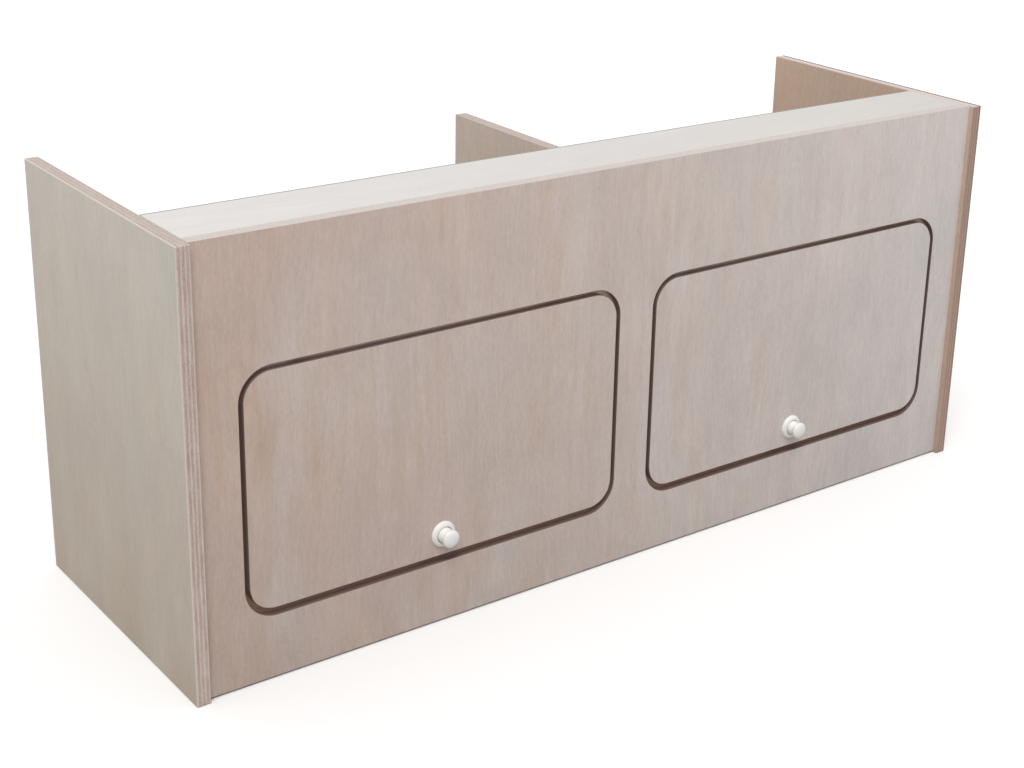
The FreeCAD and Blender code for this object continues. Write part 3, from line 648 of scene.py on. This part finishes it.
# Rolled rim of a hinge cup: (radius, distance behind the flange)
CUP_RIM_RINGS = [(16.3, -0.3), (16.3, 0.45), (16.7, 0.75), (17.3, 0.75), (17.9, 0.45), (18.2, -0.3),
                 (16.3, -0.3)]

knob_low, knob_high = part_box("left_lock_knob")
lock_x, lock_z = [(knob_low[axis] + knob_high[axis]) / 2 for axis in (0, 2)]
lock_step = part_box("right_lock_knob")[0].x - knob_low.x
tip = knob_low.y / MM
door_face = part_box("left_door_panel")[0].y / MM
knob_path = [(radius, tip + reach) for radius, reach in KNOB_RINGS]
rosette_path = [(radius, door_face - reach) for radius, reach in ROSETTE_RINGS]
left_knob = drawn_out("left_knob_moulded", knob_path, lock_x, lock_z)
right_knob = copied(left_knob, "right_knob_moulded", lock_step)
left_rosette = drawn_out("left_rosette_moulded", rosette_path, lock_x, lock_z)
right_rosette = copied(left_rosette, "right_rosette_moulded", lock_step)
stand_for(left_knob, "left_lock_knob")
stand_for(right_knob, "right_lock_knob")
stand_for(left_rosette, "left_lock_rosette")
stand_for(right_rosette, "right_lock_rosette")

hinges = [side + "_" + place + "_hinge" for side in SIDES for place in ("inner", "outer")]
cup_low, cup_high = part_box(hinges[0] + "_cup")
cup_x, cup_z = [(cup_low[axis] + cup_high[axis]) / 2 for axis in (0, 2)]
rim_path = [(radius, cup_high.y / MM + reach) for radius, reach in CUP_RIM_RINGS]
first_rim = drawn_out(hinges[0] + "_cup_rim", rim_path, cup_x, cup_z)
rims = [first_rim]
for hinge in hinges[1:]:
    rims.append(copied(first_rim, hinge + "_cup_rim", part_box(hinge + "_cup")[0].x - cup_low.x))
for rim, hinge in zip(rims, hinges):
    wear(rim, finishes[hinge + "_cup"])
    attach(rim, nodes[hinge + "_cup"]["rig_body"])

# Widths of the soft arrises. An arm's rib and a case's sunk panel also have a margin to the edge and a
# height.
CUP_ARRIS = 0.35 * MM
ARM_ARRIS, RIB_MARGIN, RIB_HEIGHT = 0.4 * MM, 3.2 * MM, 0.8 * MM
CASE_ARRIS, PANEL_MARGIN, PANEL_HEIGHT = 0.5 * MM, 2.5 * MM, -0.8 * MM
PLATE_ARRIS = 0.4 * MM
BOLT_ARRIS = 0.25 * MM
LATH_ARRIS = 0.2 * MM
BOARD_ARRIS = 0.6 * MM

for hinge in hinges:
    cup = hinge + "_cup"
    arm = hinge + "_arm"
    stand_for(eased_copy(cup, CUP_ARRIS), cup)
    stand_for(eased_copy(arm, ARM_ARRIS, RIB_MARGIN, RIB_HEIGHT), arm)
for side in SIDES:
    case = side + "_lock_case"
    stand_for(eased_copy(case, CASE_ARRIS, PANEL_MARGIN, PANEL_HEIGHT), case)
    for part, arris in (("_strike_plate", PLATE_ARRIS), ("_lock_bolt", BOLT_ARRIS),
                        ("_stop_laths", LATH_ARRIS)):
        stand_for(eased_copy(side + part, arris), side + part)
for board in ("left_side_panel", "right_side_panel", "top_rail", "centre_divider", "floor_panel",
              "left_hanging_rail", "right_hanging_rail"):
    stand_for(eased_copy(board, BOARD_ARRIS), board)


# Floor, light and camera

FLOOR_SIZE = 60.0
FLOOR_DROP = 0.2 * MM              # keeps the floor off the side panels' undersides
FLOOR_MARKS_PER_METRE = 3.0
FLOOR_DETAIL = 2.0
FLOOR_ROUGHNESS = 0.9
FLOOR_SHINE = 0.1
bpy.ops.object.select_all(action="DESELECT")
bpy.ops.mesh.primitive_plane_add(size=FLOOR_SIZE, location=(0, 0, -FLOOR_DROP))
floor = bpy.context.object
floor.name = "studio_floor"
floor_material, tree = new_material("white_painted_floor")
place = add(tree, "ShaderNodeTexCoord")
noise = add(tree, "ShaderNodeTexNoise",
            {"Vector": place.outputs["Object"], "Scale": FLOOR_MARKS_PER_METRE, "Detail": FLOOR_DETAIL})
paint = add(tree, "ShaderNodeMix",
            {FACTOR: noise.outputs[0], FIRST: linear("F7F7F7"), SECOND: linear("F9F9F9")},
            data_type="RGBA")
# the floor looks white, but throws up no more light than a grey one, so that the cabinet's front keeps its
# shading
ray = add(tree, "ShaderNodeLightPath")
seen = add(tree, "ShaderNodeMix",
           {FACTOR: ray.outputs["Is Camera Ray"], FIRST: linear("B4B4B4"), SECOND: paint.outputs[MIXED]},
           data_type="RGBA")
shader = add(tree, "ShaderNodeBsdfPrincipled",
             {"Base Color": seen.outputs[MIXED], "Roughness": FLOOR_ROUGHNESS,
              "Specular IOR Level": FLOOR_SHINE})
add(tree, "ShaderNodeOutputMaterial", {"Surface": shader.outputs[0]})
wear(floor, floor_material)

scene.view_settings.view_transform = "Standard"

# A white studio whose ceiling is brighter than its walls
WALL_LIGHT, CEILING_LIGHT = 0.45, 1.0
world = bpy.data.worlds.new("soft_white_studio")
scene.world = world
world.use_nodes = True
tree = world.node_tree
tree.nodes.clear()
place = add(tree, "ShaderNodeTexCoord")
height = add(tree, "ShaderNodeSeparateXYZ", {"Vector": place.outputs["Generated"]})
strength = add(tree, "ShaderNodeMapRange",
               {"Value": height.outputs["Z"], "To Min": WALL_LIGHT, "To Max": CEILING_LIGHT})
background = add(tree, "ShaderNodeBackground",
                 {"Color": linear("FCFDFF"), "Strength": strength.outputs[0]})
add(tree, "ShaderNodeOutputWorld", {"Surface": background.outputs[0]})

# Key light from above, in front and to the left, broad enough for soft shadows
KEY_FROM = Vector((-0.4, -0.5, 1.0))
KEY_DISTANCE = 3
KEY_STRENGTH = 1.5
KEY_BREADTH = math.radians(30)
key = bpy.data.lights.new("key_light", "SUN")
key.energy = KEY_STRENGTH
key.angle = KEY_BREADTH
key.color = linear("FFFDFA")[:3]
key_light = bpy.data.objects.new("key_light", key)
key_light.rotation_euler = KEY_FROM.to_track_quat("Z", "Y").to_euler()
key_light.location = KEY_FROM * KEY_DISTANCE
scene.collection.objects.link(key_light)

# Camera where the photograph was taken from, in metres; place and angles are fitted to the cabinet's corners
PICTURE_WIDTH = 1024
FOCAL_PIXELS = 1746.7
SHIFT_PIXELS = 80.0
VIEW_AZIMUTH = math.radians(-38.58)
VIEW_ELEVATION = math.radians(19.55)
VIEW_ROLL = math.radians(1.96)
CAMERA_PLACE = Vector((-1.1516, -1.5276, 0.9394))
SENSOR = 36.0
FARTHEST = 200.0

back = Vector((math.sin(VIEW_AZIMUTH) * math.cos(VIEW_ELEVATION),
               -math.cos(VIEW_AZIMUTH) * math.cos(VIEW_ELEVATION), math.sin(VIEW_ELEVATION)))
level = Vector((math.cos(VIEW_AZIMUTH), math.sin(VIEW_AZIMUTH), 0))
rise = back.cross(level)
right = math.cos(VIEW_ROLL) * level + math.sin(VIEW_ROLL) * rise
up = math.cos(VIEW_ROLL) * rise - math.sin(VIEW_ROLL) * level
camera_data = bpy.data.cameras.new("photo_camera")
camera_data.sensor_width = SENSOR
camera_data.lens = FOCAL_PIXELS * SENSOR / PICTURE_WIDTH
camera_data.shift_x = -SHIFT_PIXELS / PICTURE_WIDTH
camera_data.shift_y = -SHIFT_PIXELS / PICTURE_WIDTH
camera_data.clip_end = FARTHEST
camera = bpy.data.objects.new("photo_camera", camera_data)
scene.collection.objects.link(camera)
turn = Matrix((right, up, back)).transposed().to_4x4()
camera.matrix_world = Matrix.Translation(CAMERA_PLACE) @ turn
scene.camera = camera

bpy.context.view_layer.update()
